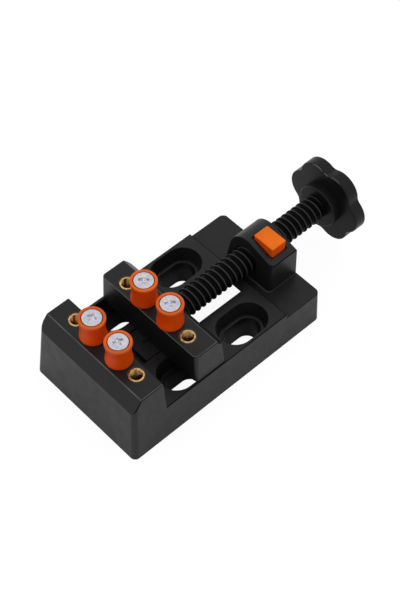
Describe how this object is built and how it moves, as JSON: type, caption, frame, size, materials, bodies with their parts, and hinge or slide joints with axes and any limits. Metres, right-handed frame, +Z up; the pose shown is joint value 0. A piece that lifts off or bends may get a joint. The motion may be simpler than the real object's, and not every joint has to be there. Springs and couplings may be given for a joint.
{
  "type": "mini table vise",
  "caption": "Small moulded table vise with a sliding jaw on a coarse lead screw, grooved orange posts in brass inserts, a star knob and a push button that frees the screw.",
  "frame": {"origin": "under the middle of the whole vise, on the plane that its base stands on", "axes": "+Y along the screw from the fixed jaw to the knob, +Z up, +X across the jaws"},
  "size_m": [0.06, 0.1398, 0.0462],
  "materials": {
    "black_plastic": "fine satin grain",
    "orange_plastic": "satin",
    "brass": "turned",
    "plated_steel": "bright zinc",
    "spring_steel": "drawn wire"
  },
  "bodies": {
    "base": {"base": "black_plastic", "latch_cover": "black_plastic", "release_spring": "spring_steel", "cover_screw_1": "plated_steel", "cover_screw_2": "plated_steel", "insert_1": "brass", "insert_2": "brass", "insert_3": "brass", "insert_4": "brass", "post_1": "orange_plastic", "post_2": "orange_plastic", "post_screw_1": "plated_steel", "post_screw_2": "plated_steel"},
    "sliding_jaw": {"moving_jaw": "black_plastic", "slide_keeper": "black_plastic", "screw_fork": "plated_steel", "keeper_screw_1": "plated_steel", "keeper_screw_2": "plated_steel", "insert_5": "brass", "insert_6": "brass", "insert_7": "brass", "insert_8": "brass", "post_3": "orange_plastic", "post_4": "orange_plastic", "post_screw_3": "plated_steel", "post_screw_4": "plated_steel"},
    "screw": {"lead_screw": "black_plastic", "star_knob": "black_plastic", "knob_screw": "plated_steel"},
    "button": {"release_button": "orange_plastic"}
  },
  "joints": [
    {"name": "jaw_slide", "type": "slide", "parent": "base", "child": "sliding_jaw", "axis": [0, 1, 0], "range_m": [-0.0151, 0.0345]},
    {"name": "screw_turn", "type": "hinge", "parent": "sliding_jaw", "child": "screw", "pos_m": [0, 0.02007, 0.0247], "axis": [0, 1, 0], "range_deg": [-1875, 4283]},
    {"name": "button_press", "type": "slide", "parent": "base", "child": "button", "axis": [0, 0, -1], "range_m": [0, 0.0017], "stiffness_N_per_m": 400, "springref_m": -0.003, "deforming": ["release_spring"]}
  ],
  "couplings": [
    {"joint": "screw_turn", "follows": "jaw_slide", "rad_per_m": 2166.6}
  ]
}
